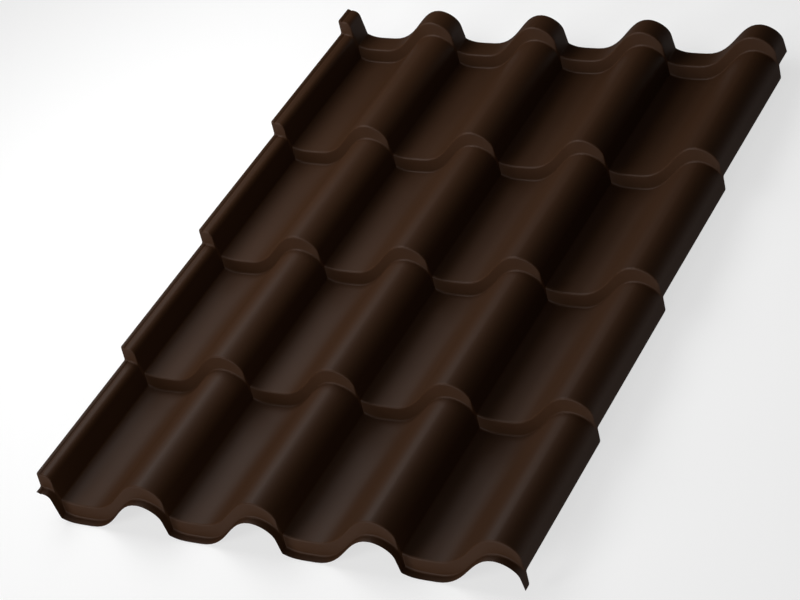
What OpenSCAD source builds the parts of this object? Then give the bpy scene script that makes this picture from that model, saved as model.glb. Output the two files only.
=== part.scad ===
// Metal roof tile sheet: one roll-formed and pressed steel sheet.
// Waves run up the roof (along Y) and pressed steps cross them every row.
// X runs across the waves, +Y points up the roof, +Z is the weather side.

/* [Wave section] */
// Distance from one wave to the next
wave_pitch = 255; // [200:5:300]
// Number of full waves across the sheet
wave_count = 4; // [2:1:6]
// Height of the crown above the crease at the foot of the wall
crown_height = 76; // [60:1:95]
// Depth of the pan below the crease
pan_depth = 10.5; // [6:0.5:20]
// Distance from the crease to the middle of the pan's flat strip
pan_at = 61; // [40:1:75]
// Width of the flat strip along the pan's lowest line
pan_flat = 16; // [8:1:30]
// Distance from the crown line down to the next crease, across the sheet
shoulder_width = 46; // [30:1:60]
// Height of the steep wall, where the rounded shoulder begins
wall_height = 37; // [30:1:55]
// Sideways run of the steep wall from shoulder to crease
wall_run = 1.5; // [1:0.5:10]
// Height at which the last wall is cut off above its crease
edge_lift = 6; // [0:1:15]

/* [Rows and steps] */
// Length of one tile row
row_pitch = 350; // [250:10:450]
// Number of full tile rows
row_count = 4; // [1:1:6]
// Height of each pressed step
step_height = 31.5; // [15:0.5:40]
// Lean of each step face towards the eave
step_lean = 5.5; // [3:0.5:15]
// Lip in front of the first step
lip_length = 17; // [8:1:40]
// Plain strip behind the last step
strip_length = 49; // [20:1:100]

/* [Side flange] */
// Width of the overlap flange, outside the top of its wall
flange_width = 27; // [26:1:40]
// Height of the flange's outer edge above the crease
flange_height = 70; // [64:1:80]
// How far the flange falls from its outer edge to its bend
flange_fall = 5; // [0:0.5:8]
// Height of the steep wall below the flange's bend
flange_wall = 50; // [40:1:54]
// Width of the bend between the flange and its wall
flange_bend = 10; // [6:0.5:10.5]
// Width of the strip outside the anti-capillary groove
edge_strip = 4.5; // [3:0.5:7]
// Width of the anti-capillary groove
groove_width = 7; // [5:0.5:8]
// Depth of the anti-capillary groove
groove_depth = 2; // [1:0.5:4]

/* [Sheet] */
// Steel thickness
sheet_thickness = 0.5; // [0.4:0.05:1.2]

/* [Smoothness] */
// Straight pieces in the pan curve
pan_steps = 6; // [4:1:12]
// Straight pieces in the long rise to the crown
rise_steps = 12; // [6:1:20]
// Straight pieces in the shoulder curve
shoulder_steps = 7; // [4:1:12]
// Straight pieces in the flange bend
bend_steps = 5; // [2:1:8]

/* [Hidden] */

// How far the control points reach along each curve, as shares of its run or drop
entry_run = 0.3;
entry_drop = 0.9;
pan_reach = 0.5;
rise_out = 0.46;
rise_in = 0.36;
shoulder_out = 0.5;
shoulder_in = 0.5;
bend_reach = 0.55;
// Place of the groove's foot, as a share of its width
groove_foot = 0.5;

row_slope = step_height / (row_pitch - step_lean);
sheet_right = wave_count * wave_pitch;
sheet_front = -step_lean - lip_length;
sheet_back = row_count * row_pitch + strip_length;
// Direction up the steep walls
wall_way = [-wall_run, wall_height] / norm([wall_run, wall_height]);
// Shift of the underside behind each step face, which keeps its thickness
step_length = norm([step_lean, step_height]);
step_shift = sheet_thickness * (step_length - step_lean) / step_height;

function bezier(a, b, c, d, t) =
    pow(1 - t, 3) * a
    + 3 * pow(1 - t, 2) * t * b
    + 3 * (1 - t) * t * t * c
    + pow(t, 3) * d;

// Points of one curve, without its first point
function curve(a, b, c, d, steps) =
    [for (i = [1:steps]) bezier(a, b, c, d, i / steps)];

// One wave after its left crease, up to its shoulder
function wave_curve() =
    let (
        crease = [0, 0],
        pan = [pan_at - pan_flat / 2, -pan_depth],
        pan_end = pan + [pan_flat, 0],
        crown = [wave_pitch - shoulder_width, crown_height],
        wall_top = [wave_pitch - wall_run, wall_height],
        rise = crown[0] - pan_end[0],
        fall = wall_top[0] - crown[0],
        drop = crown[1] - wall_top[1]
    )
    concat(
        curve(
            crease,
            crease + [entry_run * pan[0], -entry_drop * pan_depth],
            pan - [pan_reach * pan[0], 0],
            pan,
            pan_steps
        ),
        [pan_end],
        curve(
            pan_end,
            pan_end + [rise_out * rise, 0],
            crown - [rise_in * rise, 0],
            crown,
            rise_steps
        ),
        curve(
            crown,
            crown + [shoulder_out * fall, 0],
            wall_top + shoulder_in * drop * wall_way,
            wall_top,
            shoulder_steps
        )
    );

// Overlap flange, from its outer edge to the first crease
function flange_curve() =
    let (
        wall_top = wall_way * flange_wall / wall_way[1],
        slope = flange_fall / (flange_width - flange_bend),
        edge = [wall_top[0] - flange_width, flange_height],
        groove_start = edge + edge_strip * [1, -slope],
        foot = groove_start + groove_foot * groove_width * [1, -slope] - [0, groove_depth],
        groove_end = groove_start + groove_width * [1, -slope],
        flat_end = [wall_top[0] - flange_bend, flange_height - flange_fall],
        drop = flat_end[1] - wall_top[1]
    )
    concat(
        [edge, groove_start, foot, groove_end, flat_end],
        curve(
            flat_end,
            flat_end + bend_reach * flange_bend * [1, -slope],
            wall_top + bend_reach * drop * wall_way,
            wall_top,
            bend_steps
        ),
        [[0, 0]]
    );

// Whole section across the sheet, from the flange to the right edge
function section() =
    concat(
        flange_curve(),
        [
            for (w = [0:wave_count - 1])
                each concat(
                    [for (p = wave_curve()) p + [w * wave_pitch, 0]],
                    w < wave_count - 1 ? [[(w + 1) * wave_pitch, 0]] : []
                )
        ],
        [[sheet_right - wall_run * edge_lift / wall_height, edge_lift]]
    );

// Stair path up the roof: its Y, its Z and the shift of its underside
function stair() =
    concat(
        [[sheet_front, lip_length * row_slope, 0]],
        [
            for (r = [0:row_count])
                each [
                    [r * row_pitch - step_lean, 0, step_shift],
                    [r * row_pitch, step_height, step_shift]
                ]
        ],
        [[sheet_back, step_height - strip_length * row_slope, 0]]
    );

// Direction across the sheet thickness at one point of the section
function across(points, i) =
    let (
        last = len(points) - 1,
        before = points[i] - points[max(i - 1, 0)],
        after = points[min(i + 1, last)] - points[i],
        a = i == 0 ? after / norm(after) : before / norm(before),
        b = i == last ? a : after / norm(after),
        way = (a + b) / norm(a + b)
    )
    [-way[1], way[0]] / (way * a);

module roof_tile_sheet() {
    color([0.2, 0.15, 0.12]) {
        top = section();
        path = stair();
        under = [for (i = [0:len(top) - 1]) top[i] - sheet_thickness * across(top, i)];
        n = len(top);
        m = len(path);
        sides = [for (p = concat(top, under)) p[0]];
        low = min([for (p = under) p[1]]);
        centre = [(min(sides) + max(sides)) / 2, (sheet_front + sheet_back) / 2, low];
        top_points = [for (s = path, p = top) [p[0], s[0], p[1] + s[1]] - centre];
        under_points = [for (s = path, p = under) [p[0], s[0] + s[2], p[1] + s[1]] - centre];
        half = n * m;
        faces = concat(
            // Weather side and underside
            [
                for (j = [0:m - 2], i = [0:n - 2])
                    let (a = j * n + i)
                    each [
                        [a, a + n, a + n + 1, a + 1],
                        [half + a, half + a + 1, half + a + n + 1, half + a + n]
                    ]
            ],
            // Cut edges at the front and back
            [
                for (i = [0:n - 2])
                    let (a = i, b = (m - 1) * n + i)
                    each [
                        [a, a + 1, half + a + 1, half + a],
                        [b, half + b, half + b + 1, b + 1]
                    ]
            ],
            // Cut edges at the left and right
            [
                for (j = [0:m - 2])
                    let (a = j * n, b = j * n + n - 1)
                    each [
                        [a, half + a, half + a + n, a + n],
                        [b, b + n, half + b + n, half + b]
                    ]
            ]
        );
        polyhedron(points = concat(top_points, under_points), faces = faces, convexity = 10);
    }
}

roof_tile_sheet();
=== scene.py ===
import bpy
import bmesh
import math
from mathutils import Matrix, Vector


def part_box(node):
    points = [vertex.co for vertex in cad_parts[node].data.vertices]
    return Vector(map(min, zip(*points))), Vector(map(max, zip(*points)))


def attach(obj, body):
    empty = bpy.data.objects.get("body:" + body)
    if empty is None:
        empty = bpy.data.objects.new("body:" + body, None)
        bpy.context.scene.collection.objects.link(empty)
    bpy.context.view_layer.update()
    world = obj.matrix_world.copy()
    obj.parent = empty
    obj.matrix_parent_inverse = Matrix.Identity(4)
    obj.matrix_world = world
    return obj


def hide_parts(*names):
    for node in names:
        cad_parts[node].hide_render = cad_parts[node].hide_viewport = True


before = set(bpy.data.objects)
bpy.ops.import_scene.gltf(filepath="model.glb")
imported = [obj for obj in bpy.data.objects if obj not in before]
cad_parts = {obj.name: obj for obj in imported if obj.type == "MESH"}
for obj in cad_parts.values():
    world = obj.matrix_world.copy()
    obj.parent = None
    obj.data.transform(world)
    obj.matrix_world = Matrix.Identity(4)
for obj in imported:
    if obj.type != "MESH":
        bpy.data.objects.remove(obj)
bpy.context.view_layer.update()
sheetLow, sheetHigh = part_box("roof_tile_sheet")
mm = 0.001
samePlace = 1e-5    # metres, points closer than this lie in one place
weldReach = 1e-6
print("Frame loaded")


def deselectAll():
    if bpy.context.object and bpy.context.object.mode != "OBJECT":
        bpy.ops.object.mode_set(mode="OBJECT")
    bpy.ops.object.select_all(action="DESELECT")


def selectVerts(test):
    # selects the vertices of the mesh being edited that pass the test
    bpy.ops.mesh.select_mode(type="VERT")
    bpy.ops.mesh.select_all(action="DESELECT")
    mesh = bmesh.from_edit_mesh(bpy.context.object.data)
    for vert in mesh.verts:
        vert.select = test(vert)
    mesh.select_flush_mode()
    bmesh.update_edit_mesh(bpy.context.object.data)


def wayTo(azimuth, elevation):
    # direction from the origin, in degrees: azimuth 0 is to the front and 90 to the right
    a, e = math.radians(azimuth), math.radians(elevation)
    return Vector((math.sin(a) * math.cos(e), -math.cos(a) * math.cos(e), math.sin(e)))


# the sheet: sizes in millimetres, x from the first crease, y from the first step, z from the crease
sheetSizes = {
    "wavePitch": 255,
    "waveCount": 4,
    "crownHeight": 76,
    "panDepth": 10.5,
    "panAt": 61,
    "panFlat": 16,
    "shoulderWidth": 46,
    "wallHeight": 37,
    "wallRun": 1.5,
    "edgeLift": 6,
    "rowPitch": 350,
    "rowCount": 4,
    "stepHeight": 31.5,
    "stepLean": 5.5,
    "lipLength": 17,
    "stripLength": 49,
    "flangeWidth": 27,     # outside the top of its wall
    "flangeHeight": 70,
    "flangeFall": 5,       # from its outer edge to its bend
    "flangeWall": 50,
    "flangeBend": 10,
    "edgeStrip": 4.5,
    "grooveWidth": 7,
    "grooveDepth": 2,
    "thickness": 0.5,
    "stepBend": 3.6,       # how far the small bends reach along the sheet
    "creaseBend": 2.4,
    "grooveBend": 0.9,
    # how far the curves' handles reach, and where the groove's foot is, as shares
    "entryRun": 0.3,
    "entryDrop": 0.9,
    "panReach": 0.5,
    "riseOut": 0.46,
    "riseIn": 0.36,
    "shoulderOut": 0.5,
    "shoulderIn": 0.5,
    "bendReach": 0.55,
    "grooveFoot": 0.5,
    # how fine the mesh is, and its shading
    "curveDetail": 14,
    "bendSegments": 6,
    "grooveSegments": 3,
    "straightAngle": 179.95,    # degrees, a run with a wider angle is straight
    "smoothAngle": 35,
    "normalWeight": 80,
}


def straight(a, b):
    return [a, a.lerp(b, 1 / 3), a.lerp(b, 2 / 3), b]


def wallDirection(s):
    # up the steep walls
    return Vector((-s["wallRun"], s["wallHeight"])).normalized()


def flangeSegments(s):
    # cubic pieces from the flange's outer edge to the first crease
    wallWay = wallDirection(s)
    wallTop = wallWay * (s["flangeWall"] / wallWay.y)
    slopeWay = Vector((1, -s["flangeFall"] / (s["flangeWidth"] - s["flangeBend"])))
    edge = Vector((wallTop.x - s["flangeWidth"], s["flangeHeight"]))
    outer = edge + s["edgeStrip"] * slopeWay
    foot = outer + s["grooveFoot"] * s["grooveWidth"] * slopeWay - Vector((0, s["grooveDepth"]))
    inner = outer + s["grooveWidth"] * slopeWay
    flatEnd = Vector((wallTop.x - s["flangeBend"], s["flangeHeight"] - s["flangeFall"]))
    drop = flatEnd.y - wallTop.y
    bend = [
        flatEnd,
        flatEnd + s["bendReach"] * s["flangeBend"] * slopeWay,
        wallTop + s["bendReach"] * drop * wallWay,
        wallTop,
    ]
    return [
        straight(edge, outer),
        straight(outer, foot),
        straight(foot, inner),
        straight(inner, flatEnd),
        bend,
        straight(wallTop, Vector((0, 0))),
    ]


def waveSegments(s, wave):
    # cubic pieces of one wave, from its left crease to the foot of its wall
    crease = Vector((wave * s["wavePitch"], 0))
    panStart = crease + Vector((s["panAt"] - s["panFlat"] / 2, -s["panDepth"]))
    panEnd = panStart + Vector((s["panFlat"], 0))
    crown = crease + Vector((s["wavePitch"] - s["shoulderWidth"], s["crownHeight"]))
    wallTop = crease + Vector((s["wavePitch"] - s["wallRun"], s["wallHeight"]))
    wallFoot = crease + Vector((s["wavePitch"], 0))
    if wave == s["waveCount"] - 1:
        wallFoot += Vector((-s["wallRun"] * s["edgeLift"] / s["wallHeight"], s["edgeLift"]))
    entry = panStart.x - crease.x
    rise = crown.x - panEnd.x
    fall = wallTop.x - crown.x
    drop = crown.y - wallTop.y
    creaseOut = crease + Vector((s["entryRun"] * entry, -s["entryDrop"] * s["panDepth"]))
    panIn = panStart - Vector((s["panReach"] * entry, 0))
    panOut = panEnd + Vector((s["riseOut"] * rise, 0))
    crownIn = crown - Vector((s["riseIn"] * rise, 0))
    crownOut = crown + Vector((s["shoulderOut"] * fall, 0))
    wallIn = wallTop + s["shoulderIn"] * drop * wallDirection(s)
    return [
        [crease, creaseOut, panIn, panStart],
        straight(panStart, panEnd),
        [panEnd, panOut, crownIn, crown],
        [crown, crownOut, wallIn, wallTop],
        straight(wallTop, wallFoot),
    ]


def sectionSegments(s):
    # the whole cross-section, from the flange's outer edge to the last wall's cut edge
    segments = flangeSegments(s)
    for wave in range(s["waveCount"]):
        segments += waveSegments(s, wave)
    return segments


def stairStops(s):
    # y and z of the section's sharp stops up the roof
    slope = s["stepHeight"] / (s["rowPitch"] - s["stepLean"])
    stops = [(-s["stepLean"] - s["lipLength"], s["lipLength"] * slope)]
    for row in range(s["rowCount"] + 1):
        stops.append((row * s["rowPitch"] - s["stepLean"], 0))
        stops.append((row * s["rowPitch"], s["stepHeight"]))
    backEdge = s["rowCount"] * s["rowPitch"] + s["stripLength"]
    stops.append((backEdge, s["stepHeight"] - s["stripLength"] * slope))
    return [Vector(stop) for stop in stops]


def stairPath(s):
    # the way through the stops, with its pressed bends rounded
    stops = stairStops(s)
    path = [stops[0]]
    for before, corner, after in zip(stops, stops[1:], stops[2:]):
        way, on = corner - before, after - corner
        heading = math.atan2(way.y, way.x)
        turn = math.atan2(on.y, on.x) - heading
        radius = s["stepBend"] / math.tan(abs(turn) / 2)
        chord = 2 * radius * math.sin(abs(turn) / 2 / s["bendSegments"])
        point = corner - way.normalized() * s["stepBend"]
        path.append(point)
        for k in range(s["bendSegments"]):
            angle = heading + turn * (k + 0.5) / s["bendSegments"]
            point = point + Vector((math.cos(angle), math.sin(angle))) * chord
            path.append(point)
    return path + [stops[-1]]


def drawSection(segments, place, detail):
    # one curve through all pieces, turned into edges
    deselectAll()
    bpy.ops.curve.primitive_bezier_curve_add(location=(0, 0, 0))
    section = bpy.context.object
    section.name = "pressedSheet"
    section.data.dimensions = "3D"
    spline = section.data.splines[0]
    spline.resolution_u = detail
    spline.bezier_points.add(len(segments) + 1 - len(spline.bezier_points))
    for knot, point in enumerate(spline.bezier_points):
        before = segments[knot - 1] if knot else None
        after = segments[knot] if knot < len(segments) else None
        point.handle_left_type = point.handle_right_type = "FREE"
        point.co = place(after[0] if after else before[3])
        point.handle_left = place(before[2]) if before else point.co
        point.handle_right = place(after[1]) if after else point.co
    bpy.ops.object.convert(target="MESH")
    sheet = bpy.context.object
    sheet.data.name = "pressedSheet"
    print("Section drawn:", len(sheet.data.vertices), "points")
    return sheet


def thinStraightRuns(angle):
    # points in the middle of straight runs aren't needed
    def inStraightRun(vert):
        if len(vert.link_edges) != 2:
            return False
        a, b = [edge.other_vert(vert).co - vert.co for edge in vert.link_edges]
        return a.angle(b) > math.radians(angle)

    selectVerts(inStraightRun)
    bpy.ops.mesh.dissolve_verts()


def roundFolds(folds, reach, segments):
    # folds along the sheet get their small radius
    selectVerts(lambda v: min((v.co - fold).length for fold in folds) < samePlace)
    bpy.ops.mesh.bevel(affect="VERTICES", offset=reach * mm, segments=segments)


def drawUpRoof(path):
    # the section is extruded from stop to stop, with its weather side up
    bpy.ops.mesh.select_all(action="SELECT")
    for here, there in zip(path, path[1:]):
        move = (there - here) * mm
        bpy.ops.mesh.extrude_region_move(TRANSFORM_OT_translate={"value": (0, move.x, move.y)})
    bpy.ops.mesh.select_all(action="SELECT")
    bpy.ops.mesh.remove_doubles(threshold=weldReach)
    bpy.ops.mesh.normals_make_consistent(inside=False)
    mesh = bmesh.from_edit_mesh(bpy.context.object.data)
    if sum(face.normal.z * face.calc_area() for face in mesh.faces) < 0:
        bpy.ops.mesh.flip_normals()
    print("Drawn up the roof:", len(path), "stops")


def giveThickness(sheet, thickness):
    # the steel lies below the surface; its underside and cut edges get the next two materials
    bpy.ops.object.modifier_add(type="SOLIDIFY")
    solidify = sheet.modifiers[-1]
    solidify.thickness = thickness
    solidify.offset = -1
    solidify.use_quality_normals = True  # all bends are rounded, so the wall stays even
    solidify.use_rim = True
    solidify.material_offset = 1
    solidify.material_offset_rim = 2
    bpy.ops.object.modifier_apply(modifier=solidify.name)

    # the front is cut off upright
    bpy.ops.object.mode_set(mode="EDIT")
    selectVerts(lambda v: v.co.y < sheetLow.y + thickness)
    bpy.ops.transform.resize(value=(1, 0, 1), center_override=(0, sheetLow.y, 0))
    bpy.ops.object.mode_set(mode="OBJECT")


def smoothShading(sheet, angle, weight):
    bpy.ops.object.shade_smooth_by_angle(angle=math.radians(angle))
    bpy.ops.object.modifier_add(type="WEIGHTED_NORMAL")
    weighted = sheet.modifiers[-1]
    weighted.keep_sharp = True
    weighted.weight = weight
    bpy.ops.object.modifier_apply(modifier=weighted.name)


def buildSheet(s):
    segments = sectionSegments(s)
    path = stairPath(s)
    lip = path[0]
    # where the first crease and the first step lie in the frame
    rightEdge = s["waveCount"] * s["wavePitch"] - s["wallRun"] * s["edgeLift"] / s["wallHeight"]
    x0 = sheetHigh.x - rightEdge * mm
    y0 = sheetLow.y - lip.x * mm
    z0 = sheetLow.z + (s["panDepth"] + s["thickness"]) * mm

    def place(p):
        # a point of the section, at the lip's front edge
        return Vector((x0 + p.x * mm, y0 + lip.x * mm, z0 + (p.y + lip.y) * mm))

    sheet = drawSection(segments, place, s["curveDetail"])
    bpy.ops.object.mode_set(mode="EDIT")
    thinStraightRuns(s["straightAngle"])
    creases = [place(Vector((wave * s["wavePitch"], 0))) for wave in range(s["waveCount"])]
    roundFolds(creases, s["creaseBend"], s["bendSegments"])
    grooveFolds = [place(segment[3]) for segment in segments[:3]]
    roundFolds(grooveFolds, s["grooveBend"], s["grooveSegments"])
    drawUpRoof(path)
    bpy.ops.object.mode_set(mode="OBJECT")
    giveThickness(sheet, s["thickness"] * mm)
    smoothShading(sheet, s["smoothAngle"], s["normalWeight"])
    print("Sheet done:", len(sheet.data.polygons), "faces")
    return sheet


# finishes: colours as linear values, lengths in metres
finishLook = {
    "paintColor": (0.0388, 0.0155, 0.0056, 1),
    "paintColorDeep": (0.0352, 0.0138, 0.0049, 1),
    "paintRoughness": (0.50, 0.58),
    "paintLacquer": (0.12, 2.1),   # share that reflects and its index of refraction
    "backColor": (0.42, 0.42, 0.40, 1),
    "backColorDeep": (0.36, 0.36, 0.345, 1),
    "backRoughness": (0.52, 0.62),
    "backLacquer": (0.5, 1.5),
    "filmDrift": 0.35,         # size of the slow change of tone
    "filmStreak": 0.03,        # width of the streaks left along the coil
    "streakDraw": 0.03,        # their width as a share of their length
    "streakShare": 0.45,       # streaks and grain in the tone, and grain in the gloss
    "grainShare": 0.15,
    "glossGrain": 0.5,
    "noiseRange": (0.32, 0.68),    # noise between these values is drawn out to 0 and 1
    "grainSize": 0.0012,       # orange peel of the coating
    "grainDepth": 0.000006,
    "edgeColor": (0.50, 0.50, 0.49, 1),
    "edgeColorDull": (0.24, 0.235, 0.23, 1),
    "edgeRoughness": (0.32, 0.55),
    "edgeGrain": 0.0008,
}
filmInputs = {
    "Drift Size": finishLook["filmDrift"],
    "Streak Width": finishLook["filmStreak"],
    "Grain Size": finishLook["grainSize"],
    "Grain Depth": finishLook["grainDepth"],
}


def addNode(tree, kind, x, y, values=None):
    node = tree.nodes.new(kind)
    node.location = (x, y)
    for name, value in (values or {}).items():
        node.inputs[name].default_value = value
    return node


def coatFilmGroup(look):
    # the look of a rolled-on coating: tone and gloss that drift a little, and its fine grain
    group = bpy.data.node_groups.new("coatFilm", "ShaderNodeTree")
    for name in filmInputs:
        group.interface.new_socket(name=name, in_out="INPUT", socket_type="NodeSocketFloat")
    for name, kind in (("Tone", "Float"), ("Gloss", "Float"), ("Normal", "Vector")):
        group.interface.new_socket(name=name, in_out="OUTPUT", socket_type="NodeSocket" + kind)
    links = group.links
    given = addNode(group, "NodeGroupInput", -1100, 0)
    out = addNode(group, "NodeGroupOutput", 500, 0)
    place = addNode(group, "ShaderNodeTexCoord", -1100, 300)

    def perMetre(socket, y):
        node = addNode(group, "ShaderNodeMath", -900, y)
        node.operation = "DIVIDE"
        node.inputs[0].default_value = 1
        links.new(given.outputs[socket], node.inputs[1])
        return node.outputs[0]

    def noise(scale, vector, y, detail):
        node = addNode(group, "ShaderNodeTexNoise", -500, y, {"Detail": detail, "Roughness": 0.5})
        links.new(scale, node.inputs["Scale"])
        links.new(vector, node.inputs["Vector"])
        return node.outputs["Fac"]

    # the coil runs along the sheet, so its streaks are drawn out that way
    along = addNode(group, "ShaderNodeMapping", -700, 300)
    along.inputs["Scale"].default_value = (1, look["streakDraw"], 1)
    links.new(place.outputs["Object"], along.inputs["Vector"])
    drift = noise(perMetre("Drift Size", 0), place.outputs["Object"], 0, detail=2)
    streak = noise(perMetre("Streak Width", -200), along.outputs["Vector"], -200, detail=3)
    grain = noise(perMetre("Grain Size", -400), place.outputs["Object"], -400, detail=1)

    def blend(a, b, share, x, y):
        node = addNode(group, "ShaderNodeMix", x, y)
        node.inputs["Factor"].default_value = share
        links.new(a, node.inputs["A"])
        links.new(b, node.inputs["B"])
        return node.outputs["Result"]

    def spread(value, x, y):
        low, high = look["noiseRange"]
        node = addNode(group, "ShaderNodeMapRange", x, y, {"From Min": low, "From Max": high})
        links.new(value, node.inputs["Value"])
        return node.outputs["Result"]

    tone = blend(drift, streak, look["streakShare"], -250, 100)
    tone = blend(tone, grain, look["grainShare"], -50, 100)
    links.new(spread(tone, 150, 100), out.inputs["Tone"])
    gloss = blend(streak, grain, look["glossGrain"], -50, -100)
    links.new(spread(gloss, 150, -100), out.inputs["Gloss"])
    bump = addNode(group, "ShaderNodeBump", 150, -350)
    links.new(given.outputs["Grain Depth"], bump.inputs["Distance"])
    links.new(grain, bump.inputs["Height"])
    links.new(bump.outputs["Normal"], out.inputs["Normal"])
    return group


def newMaterial(name):
    mat = bpy.data.materials.new(name)
    mat.use_nodes = True
    return mat, mat.node_tree, mat.node_tree.nodes["Principled BSDF"]


def mixColors(tree, factor, a, b):
    node = addNode(tree, "ShaderNodeMix", -300, 250)
    node.data_type = "RGBA"
    node.inputs["A"].default_value = a
    node.inputs["B"].default_value = b
    tree.links.new(factor, node.inputs["Factor"])
    return node.outputs["Result"]


def scaleRange(tree, factor, low, high):
    node = addNode(tree, "ShaderNodeMapRange", -300, 0, {"To Min": low, "To Max": high})
    tree.links.new(factor, node.inputs["Value"])
    return node.outputs["Result"]


def coatedMaterial(name, coat, look):
    # coat is the first word of its values in the look
    mat, tree, shader = newMaterial(name)
    film = addNode(tree, "ShaderNodeGroup", -600, 100)
    film.node_tree = coatFilm
    for label, value in filmInputs.items():
        film.inputs[label].default_value = value
    colors = mixColors(tree, film.outputs["Tone"], look[coat + "ColorDeep"], look[coat + "Color"])
    tree.links.new(colors, shader.inputs["Base Color"])
    gloss = scaleRange(tree, film.outputs["Gloss"], *look[coat + "Roughness"])
    for layer in ("", "Coat "):
        tree.links.new(gloss, shader.inputs[layer + "Roughness"])
        tree.links.new(film.outputs["Normal"], shader.inputs[layer + "Normal"])
    # all the shine is in the lacquer, which keeps steep walls from shining too much
    shader.inputs["Specular IOR Level"].default_value = 0
    weight, refraction = look[coat + "Lacquer"]
    shader.inputs["Coat Weight"].default_value = weight
    shader.inputs["Coat IOR"].default_value = refraction
    return mat


def edgeMaterial(look):
    # sheared zinc-coated steel
    mat, tree, shader = newMaterial("cutEdge")
    place = addNode(tree, "ShaderNodeTexCoord", -900, 100)
    shear = addNode(tree, "ShaderNodeTexNoise", -600, 100, {"Scale": 1 / look["edgeGrain"], "Detail": 3})
    tree.links.new(place.outputs["Object"], shear.inputs["Vector"])
    colors = mixColors(tree, shear.outputs["Fac"], look["edgeColorDull"], look["edgeColor"])
    tree.links.new(colors, shader.inputs["Base Color"])
    roughness = scaleRange(tree, shear.outputs["Fac"], *look["edgeRoughness"])
    tree.links.new(roughness, shader.inputs["Roughness"])
    shader.inputs["Metallic"].default_value = 1
    return mat


sheet = buildSheet(sheetSizes)
coatFilm = coatFilmGroup(finishLook)
weatherPaint = coatedMaterial("weatherPaint", "paint", finishLook)
backCoat = coatedMaterial("backCoat", "back", finishLook)
cutEdge = edgeMaterial(finishLook)
sheet.data.materials.clear()
for mat in (weatherPaint, backCoat, cutEdge):
    sheet.data.materials.append(mat)
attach(sheet, "root")
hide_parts("roof_tile_sheet")
print("Finishes set")


# floor and light
stageLook = {
    "floorSize": 40,
    "floorColor": (0.35, 0.35, 0.35, 1),
    "floorRoughness": 0.9,
    "floorGlow": (0.65, 0.65, 0.65, 1),
    "worldColor": (1, 1, 1, 1),
    "worldStrength": 0.05,
    # azimuth and elevation in degrees, distance and size in metres, level of light
    "lamps": {
        "keyLamp": (284, 60, 1.7, 1.1, 0.36),
        "backLamp": (242, 49, 1.7, 0.9, 0.42),
        "sideLamp": (330, 22, 6.5, 2.6, 0.38),
        "frontLamp": (12, 13, 6.5, 2.4, 0.34),
        "topLamp": (0, 85, 1.7, 1.2, 0.08),
    },
}


def floorMaterial(look):
    # a pale floor that takes shadows; its glow shows behind the sheet and in its shine, and lights nothing
    mat, tree, shader = newMaterial("paleFloor")
    shader.inputs["Base Color"].default_value = look["floorColor"]
    shader.inputs["Roughness"].default_value = look["floorRoughness"]
    shader.inputs["Specular IOR Level"].default_value = 0
    rays = addNode(tree, "ShaderNodeLightPath", -900, -300)
    seen = rays.outputs["Is Camera Ray"]
    for k, label in enumerate(("Is Glossy Ray", "Is Transmission Ray")):
        either = addNode(tree, "ShaderNodeMath", -650 + 200 * k, -300)
        either.operation = "MAXIMUM"
        tree.links.new(seen, either.inputs[0])
        tree.links.new(rays.outputs[label], either.inputs[1])
        seen = either.outputs[0]
    glow = addNode(tree, "ShaderNodeEmission", -200, -300, {"Color": look["floorGlow"]})
    tree.links.new(seen, glow.inputs["Strength"])
    both = addNode(tree, "ShaderNodeAddShader", 100, -100)
    tree.links.new(shader.outputs["BSDF"], both.inputs[0])
    tree.links.new(glow.outputs["Emission"], both.inputs[1])
    output = tree.nodes["Material Output"]
    tree.links.new(both.outputs["Shader"], output.inputs["Surface"])
    return mat


deselectAll()
bpy.ops.mesh.primitive_plane_add(size=stageLook["floorSize"], location=(0, 0, 0))
floor = bpy.context.object
floor.name = "floor"
floor.data.materials.append(floorMaterial(stageLook))

world = bpy.data.worlds.new("softWorld")
bpy.context.scene.world = world
world.use_nodes = True
background = world.node_tree.nodes["Background"]
background.inputs["Color"].default_value = stageLook["worldColor"]
background.inputs["Strength"].default_value = stageLook["worldStrength"]


def addLamp(name, azimuth, elevation, distance, size, level):
    # level 1 lights a surface at the centre that faces the lamp as a full white world would
    way = wayTo(azimuth, elevation)
    bpy.ops.object.light_add(type="AREA", location=way * distance)
    lamp = bpy.context.object
    lamp.name = name
    lamp.rotation_euler = way.to_track_quat("Z", "Y").to_euler()
    lamp.data.shape = "SQUARE"
    lamp.data.size = size
    lamp.data.energy = level * (math.pi * distance) ** 2
    return lamp


for name, setting in stageLook["lamps"].items():
    addLamp(name, *setting)

cameraView = {
    "azimuth": 39.052,
    "elevation": 39.653,
    "roll": -21.439,
    "distance": 5.3633,
    "target": (-0.05743, -0.04851, 0.0),
    "lens": 118.507,
    "sensorWidth": 36,
    "clipEnd": 200,
}


def addCamera(c):
    back = wayTo(c["azimuth"], c["elevation"])
    side = wayTo(c["azimuth"] + 90, 0)
    roll = math.radians(c["roll"])
    up = back.cross(side)
    right = side * math.cos(roll) + up * math.sin(roll)
    up = back.cross(right)
    place = Vector(c["target"]) + back * c["distance"]
    bpy.ops.object.camera_add(location=place)
    camera = bpy.context.object
    camera.name = "mainCamera"
    turn = Matrix((right, up, back)).transposed().to_4x4()
    camera.matrix_world = Matrix.Translation(place) @ turn
    camera.data.lens = c["lens"]
    camera.data.sensor_width = c["sensorWidth"]
    camera.data.clip_end = c["clipEnd"]
    bpy.context.scene.camera = camera


addCamera(cameraView)
bpy.context.scene.view_settings.view_transform = "Standard"
print("Stage set")
